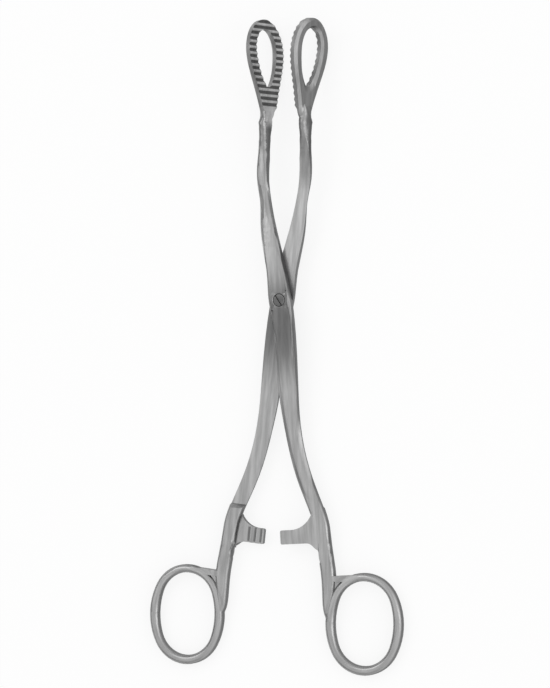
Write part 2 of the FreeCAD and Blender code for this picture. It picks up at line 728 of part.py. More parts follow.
def joint_screw():
    """Slotted head, smooth shoulder and threaded end, turned about the joint's axis."""
    body = doc.addObject("PartDesign::Body", "joint_screw")
    body.Label = "joint_screw"
    outer = SIZES["joint_thick"] / 2
    seat = outer - SIZES["head_thick"] + SIZES["running_clearance"]
    lap = -SIZES["lap_gap"]
    head = SIZES["head_diameter"] / 2
    edge = SIZES["head_edge"]
    shoulder = SIZES["shoulder_diameter"] / 2
    thread = SIZES["thread_diameter"] / 2
    profile = sketch_on(body, "screw_profile", "XZ_Plane")
    polygon(profile, [(0, outer), (head - edge, outer), (head, outer - edge), (head, seat), (shoulder, seat),
                      (shoulder, lap), (thread, lap), (thread, edge - outer), (thread - edge, -outer),
                      (0, -outer)])
    turned = body.newObject("PartDesign::Revolution", "turned")
    turned.Profile = profile
    turned.ReferenceAxis = (profile, ["V_Axis"])
    turned.Angle = 360.0
    body.Tip = turned
    doc.recompute()
    slot = sketch_on(body, "slot_sketch", "XY_Plane", (0, 0, 1))
    shift(slot, z="Sizes.joint_thick / 2", turn="Sizes.slot_turn")
    half = SIZES["slot_width"] / 2
    end = head + OVERCUT
    polygon(slot, [(-end, -half), (end, -half), (end, half), (-end, half)])
    pocket(body, "slot", slot, "Sizes.slot_depth")
    return body


def lay_down(body, turn):
    """Turns a body on the joint and lays it with the whole instrument on the table."""
    jaw_low = ("(Sizes.jaw_width / 2 * cos(Sizes.jaw_twist) + (Sizes.jaw_gap + Sizes.jaw_thick"
               " - Sizes.jaw_bevel) * sin(Sizes.jaw_twist))")
    half = "(Sizes.rest_opening / 2)"
    jaw_far = f"(Sizes.jaw_widest * cos{half})"
    ring_middle = f"(Sizes.ring_reach * cos{half} - Sizes.ring_offset * sin{half})"
    ring_far = f"({ring_middle} + Sizes.ring_opening_length / 2 + {RING_REST} * Sizes.ring_bottom)"
    tip_far = f"(Sizes.jaw_tip * cos{half})"
    ring_end = f"({ring_middle} + Sizes.ring_opening_length / 2 + Sizes.ring_bottom)"
    pitch = f"atan(({jaw_low} - Sizes.ring_thick / 2) / ({jaw_far} + {ring_far}))"
    lift = f"({jaw_low} * cos({pitch}) - {jaw_far} * sin({pitch}))"
    middle = f"(({ring_end} - {tip_far}) / 2)"
    lie = f"placement(vector(0; {middle}; {lift}); rotation(vector(1; 0; 0); {pitch}))"
    body.setExpression("Placement", f"{lie} * {turn}")


TURN = "placement(vector(0; 0; 0); rotation(vector(0; 0; 1); {}Sizes.rest_opening / 2))"
FLIP = "placement(vector(0; 0; 0); rotation(vector(0; 1; 0); 180))"

front_arm = arm("front", screw_seat)
rear_arm = arm("rear", screw_thread_hole)
screw = joint_screw()
lay_down(front_arm, TURN.format(""))
lay_down(rear_arm, TURN.format("-") + " * " + FLIP)
lay_down(screw, TURN.format("-"))
doc.recompute()

for item in doc.Objects:
    if "Invalid" in item.State or "Error" in item.State:
        raise RuntimeError(f"{item.Name}: {item.State}")
for body in (front_arm, rear_arm, screw):
    if body.Shape.isNull() or not body.Shape.isValid():
        raise RuntimeError(f"{body.Label} has no valid shape")

os.makedirs("parts", exist_ok=True)
for body in (front_arm, rear_arm, screw):
    body.Shape.exportStep(f"parts/{body.Label}.step")
    print(body.Label, len(body.Shape.Solids), round(body.Shape.Volume, 1), body.Shape.BoundBox)
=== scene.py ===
import json
import math

import bmesh
import bpy
from mathutils import Matrix, Vector
from mathutils.kdtree import KDTree


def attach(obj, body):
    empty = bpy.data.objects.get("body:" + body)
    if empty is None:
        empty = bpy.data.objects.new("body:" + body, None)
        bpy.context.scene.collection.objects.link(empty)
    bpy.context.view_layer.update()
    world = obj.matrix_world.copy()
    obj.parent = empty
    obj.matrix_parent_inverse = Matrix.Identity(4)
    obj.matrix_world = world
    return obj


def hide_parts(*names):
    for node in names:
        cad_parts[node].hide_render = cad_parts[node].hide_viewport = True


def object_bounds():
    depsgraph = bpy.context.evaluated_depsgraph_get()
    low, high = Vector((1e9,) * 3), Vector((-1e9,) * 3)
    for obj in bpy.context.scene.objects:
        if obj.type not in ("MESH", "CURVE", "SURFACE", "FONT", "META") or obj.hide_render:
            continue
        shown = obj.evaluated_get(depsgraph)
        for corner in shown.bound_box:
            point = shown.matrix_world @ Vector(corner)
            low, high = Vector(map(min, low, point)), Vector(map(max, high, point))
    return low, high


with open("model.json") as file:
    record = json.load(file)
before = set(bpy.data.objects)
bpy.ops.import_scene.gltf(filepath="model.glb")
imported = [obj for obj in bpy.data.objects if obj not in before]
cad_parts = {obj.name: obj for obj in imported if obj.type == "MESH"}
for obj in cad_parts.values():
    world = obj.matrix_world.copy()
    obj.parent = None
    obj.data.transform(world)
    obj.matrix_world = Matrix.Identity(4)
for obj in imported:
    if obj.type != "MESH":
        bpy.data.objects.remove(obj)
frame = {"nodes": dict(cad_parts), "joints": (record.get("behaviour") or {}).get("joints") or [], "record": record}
cad_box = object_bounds()

MM = 0.001

# Camera, as in the photograph: the instrument lies on its back and the camera looks down on it
# from the right of the screw's axis and a little from the side of the finger rings.
PHOTO_WIDTH = 550
PHOTO_HEIGHT = 688
SCREW_ACROSS = 281.6
SCREW_DOWN = 300.3
CAMERA_SIDE = math.radians(22.1)
CAMERA_TILT = math.radians(1.75)
CAMERA_LEAN = math.radians(1.24)
CAMERA_DISTANCE = 1028 * MM
PIXEL_AT_SCREW = 0.3834 * MM
SENSOR = 36.0

# Meshes: distance within which corners merge, angle within which faces are one flat, and angle
# from which an edge is a crease
MERGE = 0.002 * MM
CUT_MERGE = MERGE / 4
COPLANAR = math.radians(0.4)
CREASE = math.radians(36.0)
ARM_EDGE_BREAK = 0.14 * MM
SCREW_EDGE_BREAK = 0.05 * MM
NORMAL_WEIGHT = 70

# Arms, turned from closed to the opening in the photograph, and the faces of their jaws
HALF_OPENING = math.radians(4.87)
JAW_TWIST = math.radians(19.5)
JAW_GAP = 0.05 * MM

# The zones that follow run along an arm, from the screw towards the jaw.
# Neck, widened until it meets the foot of the jaw
FLARE_ZONE = (56.5 * MM, 70.5 * MM)
FLARE_STEP = 1.0 * MM
FLARE = 1.5
NECK_ZONE = (57.0 * MM, 74.6 * MM)

# Foot of the jaw, divided finely and smoothed into the neck by steps forwards and back
HEEL_ZONE = (62.0 * MM, 74.6 * MM)
HEEL_CUT = 1.6 * MM
HEEL_LONGEST_EDGE = 0.64 * MM
HEEL_DIVISIONS = 3
HEEL_PASSES = 50
HEEL_STEPS = (0.5, -0.36)
HEEL_FADE = 2.0 * MM

# Ratchet bars: their lower edge, and the corner where its fillet meets the shank. The bar's start
# and the corner's band are measured inwards from the screw.
LOWER_FILLET = (-97.0 * MM, -92.2 * MM)
LOWER_CORNER = (-101.0 * MM, -93.6 * MM)
LOWER_EDGE_DEEPER = {"front": 0.0, "rear": 0.55 * MM}
BAR_START = -8.95 * MM
CORNER_BAND = (-12.0 * MM, -6.0 * MM)
CORNER_CUT = 0.5 * MM
CORNER_FADE = 2.0 * MM
CORNER_LONGEST_EDGE = 1.5 * MM
CORNER_PASSES = 30
CORNER_STEP = 0.5

# Soft shoulder along the long edges of the outer flats, and the square round the screw's hole
CROWN_ZONE = (-84.0 * MM, 47.0 * MM)
CROWN_WIDTH = 0.65 * MM
CROWN_DROP = 0.28 * MM
CROWN_FOOT = 1.0 * MM
CROWN_FADE = 8.0 * MM
CROWN_REACH = 2.5 * CROWN_WIDTH
OUTER_HEIGHT = 1.4 * MM
OUTER_FACING = 0.99
HOLE_CLEAR = 3.5 * MM
HOLE_SQUARE = (2.75 * MM, 3.0 * MM)

# Slopes at the ends of the half-laps
SLOPE_ZONES = {"front": ((20.0 * MM, 34.0 * MM),),
               "rear": ((20.0 * MM, 34.0 * MM), (38.0 * MM, 56.0 * MM))}
SLOPE_CUT = 1.0 * MM
SLOPE_PASSES = 40
SLOPE_STEP = 0.5
SLOPE_CHAIN = 0.9

# Finger rings: half sizes of the middle of the bar, and the share of them where the ring ends
RING_HALF_WIDTH = 13.6 * MM
RING_HALF_LENGTH = 17.6 * MM
RING_END = 1.2

# Belt grain: scratches per millimetre and their length, then the broader bands of satin
GRAIN_FINENESS = 6.0
GRAIN_LENGTH = 12.0
GRAIN_DETAIL = 3.0
GRAIN_ROUGHNESS = 0.6
BAND_SCALE = (0.5, 0.045, 0.5)
BAND_ZONE = (0.3, 0.7)
BAND_CONTRAST = 0.36
BUMP_STRENGTH = 0.25
BUMP_DEPTH = 0.02 * MM

# How squarely a surface faces outwards, on the side walls and on the true flats
WALL_FACING = (0.15, 0.85)
LEVEL_FACING = (0.95, 0.985)

# Places on an arm, in millimetres from the screw: where the painted shade of the belly and the neck fades in and
# out, and where the jaw's face, serrations and ratchet bar lie
BELLY_TOP = (-5.0, 16.0)
BELLY_FOOT = (-38.0, -13.0)
BELLY_SHADE = 0.60
NECK_START = (40.0, 62.0)
NECK_END = (68.0, 75.0)
NECK_SHADE = 0.30
JAW_START = (66.0, 70.0)
JAW_FACING = (0.62, 0.82)
SERRATIONS_START = (74.2, 74.8)
SERRATION_DEPTH = (0.10, 0.26)
BAR_MIDDLE = -90.5
BAR_HALF_WIDTH = (2.6, 2.9)
BAR_HALF_LENGTH = (7.6, 8.0)
TOOTH_FOOT = (0.18, 0.40)
TOOTH_TOP = (0.95, 1.05)
TOOTH_FOOT_SHADE = 2.0

# Roughness that the scratches and the side walls add
SCRATCH_ROUGHNESS = 0.16
WALL_ROUGHNESS = 0.08

# Finishes. The tones are those of the flats, side walls (painted shade), valleys of the serrations (painted shade)
# and jaw faces.
SATIN = {"tones": (0.38, 0.14, 0.085, 0.42), "roughness": 0.34, "grain": 0.25}
# Brighter copy of the satin: a painted highlight on the narrow faces of the broken edges
EDGE_HIGHLIGHT = {"tones": (0.42, 0.26, 0.14, 0.50), "roughness": 0.28, "grain": 0.10}
TURNED = {"tones": (0.28, 0.15, 0.10, 0.28), "roughness": 0.38, "grain": 0.10}

# Studio: floor, and walls and ceiling of the world
FLOOR_HALF = 3.0
FLOOR_DROP = 0.02 * MM
FLOOR_TONE = 0.92
FLOOR_GLOW = 0.82
WALL_ZONE = (-0.75, 0.65)
LEFT_WALL = 0.42
RIGHT_WALL = 1.15
CEILING_ZONE = (0.45, 0.9)
CEILING = 0.92

joint = frame["joints"][0]
screw_place = Vector(joint["pos_m"])
screw_axis = Vector(joint["axis"]).normalized()
across = Vector((1, 0, 0))
along = screw_axis.cross(across)


# Node helpers

def new_group(name, inputs, outputs):
    """Empty shader node group. Inputs are (name, kind, value) and outputs are (name, kind)."""
    group = bpy.data.node_groups.new(name, "ShaderNodeTree")
    for label, kind, value in inputs:
        socket = group.interface.new_socket(label, in_out="INPUT",
                                            socket_type=f"NodeSocket{kind}")
        socket.default_value = value
    for label, kind in outputs:
        group.interface.new_socket(label, in_out="OUTPUT", socket_type=f"NodeSocket{kind}")
    start = group.nodes.new("NodeGroupInput")
    end = group.nodes.new("NodeGroupOutput")
    return group, start, end


def put(value, tree, socket):
    """Feeds a socket with another node's output or with a plain value."""
    if isinstance(value, bpy.types.NodeSocket):
        tree.links.new(value, socket)
    else:
        socket.default_value = value


def calc(tree, operation, first, second=0.0, third=0.0):
    node = tree.nodes.new("ShaderNodeMath")
    node.operation = operation
    for value, socket in zip((first, second, third), node.inputs):
        put(value, tree, socket)
    return node.outputs[0]


def vector_calc(tree, operation, first, second=(0.0, 0.0, 0.0)):
    node = tree.nodes.new("ShaderNodeVectorMath")
    node.operation = operation
    put(first, tree, node.inputs[0])
    put(second, tree, node.inputs[1])
    return node.outputs["Value"] if operation in ("LENGTH", "DOT_PRODUCT") else node.outputs[0]


def split(tree, vector):
    """Outputs X, Y and Z of a vector."""
    node = tree.nodes.new("ShaderNodeSeparateXYZ")
    put(vector, tree, node.inputs[0])
    return node.outputs


def join(tree, x, y, z):
    node = tree.nodes.new("ShaderNodeCombineXYZ")
    for value, socket in zip((x, y, z), node.inputs):
        put(value, tree, socket)
    return node.outputs[0]


def in_millimetres(tree, vector):
    return vector_calc(tree, "MULTIPLY", vector, (1 / MM, 1 / MM, 1 / MM))


def ramp(tree, value, zone, falling=False):
    """Smooth step from 0 to 1, or from 1 to 0 where it falls, as a value goes through a zone."""
    node = tree.nodes.new("ShaderNodeMapRange")
    node.interpolation_type = "SMOOTHSTEP"
    put(value, tree, node.inputs["Value"])
    put(zone[0], tree, node.inputs["From Min"])
    put(zone[1], tree, node.inputs["From Max"])
    put(1.0 if falling else 0.0, tree, node.inputs["To Min"])
    put(0.0 if falling else 1.0, tree, node.inputs["To Max"])
    return node.outputs[0]


def noise(tree, vector):
    node = tree.nodes.new("ShaderNodeTexNoise")
    node.inputs["Scale"].default_value = 1.0
    node.inputs["Detail"].default_value = GRAIN_DETAIL
    node.inputs["Roughness"].default_value = GRAIN_ROUGHNESS
    put(vector, tree, node.inputs["Vector"])
    return node.outputs["Fac"]


def mix(tree, share, first, second, kind="RGBA"):
    """Blends two colours, or two vectors where the kind is VECTOR."""
    node = tree.nodes.new("ShaderNodeMix")
    node.data_type = kind
    label = "Color" if kind == "RGBA" else "Vector"
    sockets = {socket.identifier: socket for socket in node.inputs}
    put(share, tree, node.inputs[0])
    put(first, tree, sockets[f"A_{label}"])
    put(second, tree, sockets[f"B_{label}"])
    return [socket for socket in node.outputs if socket.type == kind][0]


def object_coordinates(tree):
    return tree.nodes.new("ShaderNodeTexCoord").outputs


# Shared finishes

def arm_place():
    """Place on an arm in millimetres from the screw: X across, Y to the jaw and Z outwards."""
    group, start, end = new_group("arm_place", [("Across", "Vector", tuple(across)),
                                                ("Along", "Vector", tuple(along))],
                                  [("Place", "Vector")])
    from_screw = vector_calc(group, "SUBTRACT", object_coordinates(group)["Object"],
                             tuple(screw_place))
    scaled = in_millimetres(group, from_screw)
    parts = [vector_calc(group, "DOT_PRODUCT", scaled, axis)
             for axis in (start.outputs["Across"], start.outputs["Along"], tuple(screw_axis))]
    put(join(group, *parts), group, end.inputs["Place"])
    return group


def grinding_path():
    """Coordinates that run with the belt: straight along the shanks and round the finger rings.

    X is across the bar, Y along it and Z up, all in millimetres.
    """
    group, start, end = new_group("grinding_path", [("Ring", "Vector", (0, 0, 0)),
                                                    ("Place", "Vector", (0, 0, 0))],
                                  [("Path", "Vector")])
    place = object_coordinates(group)["Object"]
    from_ring = vector_calc(group, "SUBTRACT", place, start.outputs["Ring"])
    flat = vector_calc(group, "MULTIPLY", from_ring, (1, 1, 0))
    oval = vector_calc(group, "DIVIDE", flat, (RING_HALF_WIDTH, RING_HALF_LENGTH, 1))
    spread = vector_calc(group, "LENGTH", oval)
    parts = split(group, oval)
    turn = calc(group, "ARCTAN2", parts["Y"], parts["X"])
    round_ring = join(group, calc(group, "MULTIPLY", spread, RING_HALF_WIDTH),
                      calc(group, "MULTIPLY", turn, RING_HALF_LENGTH), split(group, place)["Z"])
    on_shank = calc(group, "GREATER_THAN", spread, RING_END)
    put(mix(group, on_shank, in_millimetres(group, round_ring), start.outputs["Place"], "VECTOR"),
        group, end.inputs["Path"])
    return group


def belt_grain():
    """Fine scratches along a path, with broader bands of lighter and darker satin."""
    group, start, end = new_group("belt_grain", [("Path", "Vector", (0, 0, 0)),
                                                 ("Fineness", "Float", GRAIN_FINENESS),
                                                 ("Length", "Float", GRAIN_LENGTH)],
                                  [("Scratch", "Float"), ("Band", "Float")])
    fineness = start.outputs["Fineness"]
    stretch = join(group, fineness, calc(group, "DIVIDE", 1.0, start.outputs["Length"]), fineness)
    fine = vector_calc(group, "MULTIPLY", start.outputs["Path"], stretch)
    put(noise(group, fine), group, end.inputs["Scratch"])
    broad = vector_calc(group, "MULTIPLY", start.outputs["Path"], BAND_SCALE)
    put(ramp(group, noise(group, broad), BAND_ZONE), group, end.inputs["Band"])
    return group


def flank_tone():
    """Which way a surface faces: Flank is 1 on the side walls and Level is 1 on the true flats."""
    group, _, end = new_group("flank_tone", [], [("Flank", "Float"), ("Level", "Float")])
    facing = vector_calc(group, "DOT_PRODUCT", object_coordinates(group)["Normal"],
                         tuple(screw_axis))
    outwards = calc(group, "ABSOLUTE", facing)
    put(ramp(group, outwards, WALL_FACING, falling=True), group, end.inputs["Flank"])
    put(ramp(group, outwards, LEVEL_FACING), group, end.inputs["Level"])
    return group


def painted_belly_shade():
    """Painted shade round the joint and on the neck, which fades out towards the shanks."""
    group, start, end = new_group("painted_belly_shade", [("Place", "Vector", (0, 0, 0))],
                                  [("BellyShade", "Float"), ("Neck", "Float")])
    reach = split(group, start.outputs["Place"])["Y"]
    put(calc(group, "MULTIPLY", ramp(group, reach, BELLY_TOP, falling=True),
             ramp(group, reach, BELLY_FOOT)), group, end.inputs["BellyShade"])
    put(calc(group, "MULTIPLY", ramp(group, reach, NECK_START),
             ramp(group, reach, NECK_END, falling=True)), group, end.inputs["Neck"])
    return group


def serration_tone():
    """Face of a jaw, and the painted shade of the valleys between its teeth by how deep they lie under it."""
    group, start, end = new_group("serration_tone", [("Face", "Vector", (1, 0, 0)),
                                                     ("Place", "Vector", (0, 0, 0))],
                                  [("Valley", "Float"), ("Face", "Float")])
    coordinates = object_coordinates(group)
    facing = vector_calc(group, "DOT_PRODUCT", coordinates["Normal"], start.outputs["Face"])
    from_screw = vector_calc(group, "SUBTRACT", coordinates["Object"], tuple(screw_place))
    height = vector_calc(group, "DOT_PRODUCT", from_screw, start.outputs["Face"])
    depth = calc(group, "MULTIPLY_ADD", height, -1 / MM, -JAW_GAP / MM)
    reach = split(group, start.outputs["Place"])["Y"]
    face = calc(group, "MULTIPLY", ramp(group, facing, JAW_FACING), ramp(group, reach, JAW_START))
    deep = calc(group, "MULTIPLY", ramp(group, depth, SERRATION_DEPTH),
                ramp(group, reach, SERRATIONS_START))
    put(face, group, end.inputs["Face"])
    put(calc(group, "MULTIPLY", face, deep), group, end.inputs["Valley"])
    return group


def ratchet_foot_shade():
    """Painted shade at the foot of each tooth on the inner face of a ratchet bar."""
    group, start, end = new_group("ratchet_foot_shade", [("Place", "Vector", (0, 0, 0))],
                                  [("Foot", "Float")])
    parts = split(group, start.outputs["Place"])
    height = calc(group, "ABSOLUTE", parts["Z"])
    deep = calc(group, "MULTIPLY", ramp(group, height, TOOTH_FOOT),
                ramp(group, height, TOOTH_TOP, falling=True))
    off_middle = calc(group, "ABSOLUTE", calc(group, "SUBTRACT", parts["Y"], BAR_MIDDLE))
    on_bar = calc(group, "MULTIPLY", ramp(group, off_middle, BAR_HALF_WIDTH, falling=True),
                  ramp(group, calc(group, "ABSOLUTE", parts["X"]), BAR_HALF_LENGTH, falling=True))
    put(calc(group, "MULTIPLY", deep, on_bar), group, end.inputs["Foot"])
    return group


ARM_PLACE = arm_place()
GRINDING_PATH = grinding_path()
BELT_GRAIN = belt_grain()
FLANK_TONE = flank_tone()
PAINTED_BELLY_SHADE = painted_belly_shade()
SERRATION_TONE = serration_tone()
RATCHET_FOOT_SHADE = ratchet_foot_shade()


# Materials

def place_group(tree, kind, **values):
    """Outputs of a shared group that is placed in a material with its own values."""
    node = tree.nodes.new("ShaderNodeGroup")
    node.node_tree = kind
    for label, value in values.items():
        put(value, tree, node.inputs[label])
    return node.outputs


def grey(level):
    return (level, level, level, 1.0)


def steel(name, ring, aside, length, face, tones, roughness, grain):
    """Satin ground stainless steel, for the arm that has this ring, these axes and jaw face."""
    material = bpy.data.materials.new(name)
    material.use_nodes = True
    tree = material.node_tree
    shader = tree.nodes["Principled BSDF"]
    shader.inputs["Metallic"].default_value = 1.0
    flat_tone, wall_shade, valley_shade, face_tone = tones

    place = place_group(tree, ARM_PLACE, Across=aside, Along=length)["Place"]
    path = place_group(tree, GRINDING_PATH, Ring=ring, Place=place)["Path"]
    marks = place_group(tree, BELT_GRAIN, Path=path)
    side = place_group(tree, FLANK_TONE)
    belly = place_group(tree, PAINTED_BELLY_SHADE, Place=place)
    jaw = place_group(tree, SERRATION_TONE, Face=face, Place=place)
    foot = place_group(tree, RATCHET_FOOT_SHADE, Place=place)["Foot"]

    # Painted shade: on the flats round the joint it stands in for a dark reflection, and the neck is darkened too
    painted_belly = calc(tree, "MULTIPLY", belly["BellyShade"], side["Level"])
    colour = mix(tree, calc(tree, "MULTIPLY", painted_belly, BELLY_SHADE), grey(flat_tone), grey(0.0))
    # Side walls take a painted shade
    colour = mix(tree, side["Flank"], colour, grey(wall_shade))
    neck = calc(tree, "MULTIPLY", belly["Neck"], NECK_SHADE)
    colour = mix(tree, neck, colour, grey(0.0))
    colour = mix(tree, jaw["Face"], colour, grey(face_tone))
    # Painted shade in the valleys of the serrations
    colour = mix(tree, jaw["Valley"], colour, grey(valley_shade))
    # Painted shade at the foot of each ratchet tooth
    colour = mix(tree, foot, colour, grey(TOOTH_FOOT_SHADE * valley_shade))
    scratch = calc(tree, "MULTIPLY_ADD", marks["Scratch"], grain, 1.0 - grain / 2)
    band = calc(tree, "MULTIPLY_ADD", marks["Band"], BAND_CONTRAST, 1.0 - BAND_CONTRAST / 2)
    put(vector_calc(tree, "MULTIPLY", colour, calc(tree, "MULTIPLY", scratch, band)), tree,
        shader.inputs["Base Color"])

    rough = calc(tree, "MULTIPLY_ADD", marks["Scratch"], SCRATCH_ROUGHNESS,
                 roughness - SCRATCH_ROUGHNESS / 2)
    put(calc(tree, "MULTIPLY_ADD", side["Flank"], WALL_ROUGHNESS, rough), tree,
        shader.inputs["Roughness"])
    bump = tree.nodes.new("ShaderNodeBump")
    bump.inputs["Strength"].default_value = BUMP_STRENGTH
    bump.inputs["Distance"].default_value = BUMP_DEPTH
    put(marks["Scratch"], tree, bump.inputs["Height"])
    put(bump.outputs["Normal"], tree, shader.inputs["Normal"])
    return material


# Shaping

def clean_copy(node):
    """Copy of a frame node's mesh with its doubles merged and its flat faces whole."""
    shape = bmesh.new()
    shape.from_mesh(frame["nodes"][node].data)
    bmesh.ops.remove_doubles(shape, verts=shape.verts, dist=MERGE)
    bmesh.ops.dissolve_limit(shape, angle_limit=COPLANAR, verts=shape.verts, edges=shape.edges)
    return shape


def faces_and_rest(faces):
    """Faces with their edges and corners, as a cut wants them."""
    return list(dict.fromkeys(part for face in faces for part in (face, *face.edges, *face.verts)))


def cut(shape, parts, place, direction):
    bmesh.ops.bisect_plane(shape, geom=parts, dist=CUT_MERGE, plane_co=place, plane_no=direction)


def cut_across(shape, length, zone, step):
    """Cuts the arm across at even steps, so that the zone can be shaped."""
    low, high = zone
    for index in range(int(round((high - low) / step)) + 1):
        everything = list(shape.verts) + list(shape.edges) + list(shape.faces)
        cut(shape, everything, screw_place + length * (low + index * step), length)


def crown_flats(shape, length, aside):
    """Gives the long edges of the outer faces the wide soft shoulder that the belt leaves."""
    low, high = CROWN_ZONE

    def is_flat(face):
        middle = face.calc_center_median() - screw_place
        return (abs(face.normal.dot(screw_axis)) > OUTER_FACING
                and abs(middle.dot(screw_axis)) > OUTER_HEIGHT
                and all(low < (corner.co - screw_place).dot(length) < high
                        for corner in face.verts))

    def within(face, direction, half):
        return all(abs((corner.co - screw_place).dot(direction)) < half + MERGE
                   for corner in face.verts)

    # A square round the hole is cut out of the flats and left as it is.
    half_width, half_length = HOLE_SQUARE
    bmesh.ops.triangulate(shape, faces=[face for face in shape.faces if is_flat(face)])
    for end in (-half_length, half_length):
        flats = [face for face in shape.faces if is_flat(face)]
        cut(shape, faces_and_rest(flats), screw_place + length * end, length)
    for end in (-half_width, half_width):
        flats = [face for face in shape.faces
                 if is_flat(face) and within(face, length, half_length)]
        cut(shape, faces_and_rest(flats), screw_place + aside * end, aside)
    flats = [face for face in shape.faces if is_flat(face)
             and not (within(face, length, half_length) and within(face, aside, half_width))]
    bmesh.ops.inset_region(shape, faces=flats, thickness=CROWN_WIDTH, depth=0, use_boundary=True,
                           use_even_offset=True)

    # The edge outside the inset sinks, apart from the ends of the zone and the hole.
    inner = dict.fromkeys(corner for face in flats for corner in face.verts)
    tree = KDTree(len(inner))
    for index, corner in enumerate(inner):
        tree.insert(corner.co, index)
    tree.balance()
    for corner in shape.verts:
        away = corner.co - screw_place
        reach = away.dot(length)
        height = away.dot(screw_axis)
        hole = (away - screw_axis * height).length < HOLE_CLEAR
        if corner in inner or hole or abs(height) < CROWN_FOOT or not low < reach < high:
            continue
        offset = corner.co - tree.find(corner.co)[0]
        if abs(offset.dot(aside)) < abs(offset.dot(length)) or offset.length > CROWN_REACH:
            continue
        fade = min(1.0, (reach - low) / CROWN_FADE, (high - reach) / CROWN_FADE)
        corner.co -= screw_axis * math.copysign(CROWN_DROP * fade, height)


def flare_neck(shape, length, width):
    """Widens the top of the neck, in the plane of the jaw, until it meets the foot of the jaw."""
    low, high = FLARE_ZONE
    cut_across(shape, length, FLARE_ZONE, FLARE_STEP)
    for corner in shape.verts:
        away = corner.co - screw_place
        reach = away.dot(length)
        if low < reach < high - MERGE:
            share = (reach - low) / (high - low)
            share = share * share * (3 - 2 * share)
            corner.co += width * (away.dot(width) * (FLARE - 1) * share)


def towards_middle(loose):
    """Step of each loose corner to the middle of its neighbours."""
    return {corner: sum((other.co for other in near), Vector()) / len(near) - corner.co
            for corner, (_, near) in loose.items()}


def blend_heel(shape, length):
    """Smooths the jaw's foot into the neck, as it is forged."""
    low, high = HEEL_ZONE
    cut_across(shape, length, HEEL_ZONE, HEEL_CUT)

    def reach(corner):
        return (corner.co - screw_place).dot(length)

    def heel_faces():
        return [face for face in shape.faces
                if all(low - MERGE < reach(corner) < high + MERGE for corner in face.verts)]

    for _ in range(HEEL_DIVISIONS):
        bmesh.ops.triangulate(shape, faces=heel_faces())
        long_edges = dict.fromkeys(
            edge for face in heel_faces() for edge in face.edges
            if edge.calc_length() > HEEL_LONGEST_EDGE
            and all(low + MERGE < reach(corner) < high - MERGE for corner in edge.verts))
        bmesh.ops.subdivide_edges(shape, edges=list(long_edges), cuts=1)
    loose = {}
    for corner in shape.verts:
        inside = min(reach(corner) - low, high - reach(corner)) / HEEL_FADE
        if inside > 0:
            near = [edge.other_vert(corner) for edge in corner.link_edges]
            loose[corner] = (min(1.0, inside), near)
    for _ in range(HEEL_PASSES):
        for step in HEEL_STEPS:
            for corner, move in towards_middle(loose).items():
                corner.co += move * (step * loose[corner][0])


def ease_slopes(shape, length, zones):
    """Turns the hard line where a ground slope starts into a gentle bend along the bar."""
    for low, high in zones:
        cut_across(shape, length, (low, high), SLOPE_CUT)
        chains = {}
        for corner in shape.verts:
            if not low + MERGE < (corner.co - screw_place).dot(length) < high - MERGE:
                continue
            chains[corner] = []
            for edge in corner.link_edges:
                other = edge.other_vert(corner)
                step = other.co - corner.co
                if abs(step.dot(length)) > SLOPE_CHAIN * step.length:
                    chains[corner].append(other)
        for _ in range(SLOPE_PASSES):
            moves = {}
            for corner, others in chains.items():
                if len(others) != 2:
                    continue
                steps = [other.co - corner.co for other in others]
                reaches = [step.dot(length) for step in steps]
                if reaches[0] * reaches[1] < 0:
                    share = reaches[0] / (reaches[0] - reaches[1])
                    level = steps[0].lerp(steps[1], share).dot(screw_axis)
                    moves[corner] = screw_axis * (SLOPE_STEP * level)
            for corner, move in moves.items():
                corner.co += move


def blend_ratchet(shape, length, inward, deeper):
    """Deepens the ratchet bar's lower edge and rounds the corner where it meets the shank."""
    low, high = LOWER_FILLET
    for corner in shape.verts:
        away = corner.co - screw_place
        if low - deeper < away.dot(length) < high and away.dot(inward) > BAR_START:
            corner.co -= length * deeper
    low, high = LOWER_CORNER
    cut_across(shape, length, LOWER_CORNER, CORNER_CUT)
    loose = {}
    for corner in shape.verts:
        away = corner.co - screw_place
        reach = away.dot(length)
        fade = min(reach - low, high - reach) / CORNER_FADE
        if fade > 0 and CORNER_BAND[0] < away.dot(inward) < CORNER_BAND[1]:
            near = [edge.other_vert(corner) for edge in corner.link_edges
                    if edge.calc_length() < CORNER_LONGEST_EDGE]
            if len(near) > 1:
                loose[corner] = (min(1.0, fade), near)
    for _ in range(CORNER_PASSES):
        for corner, move in towards_middle(loose).items():
            move -= screw_axis * move.dot(screw_axis)
            corner.co += move * (CORNER_STEP * loose[corner][0])


def is_crease(edge, length):
    """Whether an edge stays an edge: not where the jaw's foot is smoothed into the neck."""
    if len(edge.link_faces) != 2 or edge.calc_face_angle() < CREASE:
        return False
    low, high = NECK_ZONE
    return not all(low < (corner.co - screw_place).dot(length) < high for corner in edge.verts)


def break_edges(shape, size, length):
    """Takes the sharpness off every crease. Returns the narrow faces that this makes."""
    creases = [edge for edge in shape.edges if is_crease(edge, length)]
    made = bmesh.ops.bevel(shape, geom=creases, offset=size, segments=2, profile=0.5,
                           affect="EDGES", clamp_overlap=True, material=-1)
    return made["faces"]


# Pieces

def finish_piece(shape, name, node, body, materials, length):
    """Turns a shape into a piece that replaces its node and moves with its body."""
    bmesh.ops.dissolve_degenerate(shape, dist=CUT_MERGE, edges=shape.edges)
    for face in shape.faces:
        face.smooth = True
    for edge in shape.edges:
        edge.smooth = not is_crease(edge, length)
    mesh = bpy.data.meshes.new(name)
    shape.to_mesh(mesh)
    shape.free()
    mesh.validate()
    piece = bpy.data.objects.new(name, mesh)
    bpy.context.scene.collection.objects.link(piece)
    for material in materials:
        mesh.materials.append(material)
    normals = piece.modifiers.new("ground_flats", "WEIGHTED_NORMAL")
    normals.keep_sharp = True
    normals.weight = NORMAL_WEIGHT
    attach(piece, body)
    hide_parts(node)


def mount_place(name):
    return [mount for mount in frame["record"]["mounts"] if mount["name"] == name][0]["pos_m"]


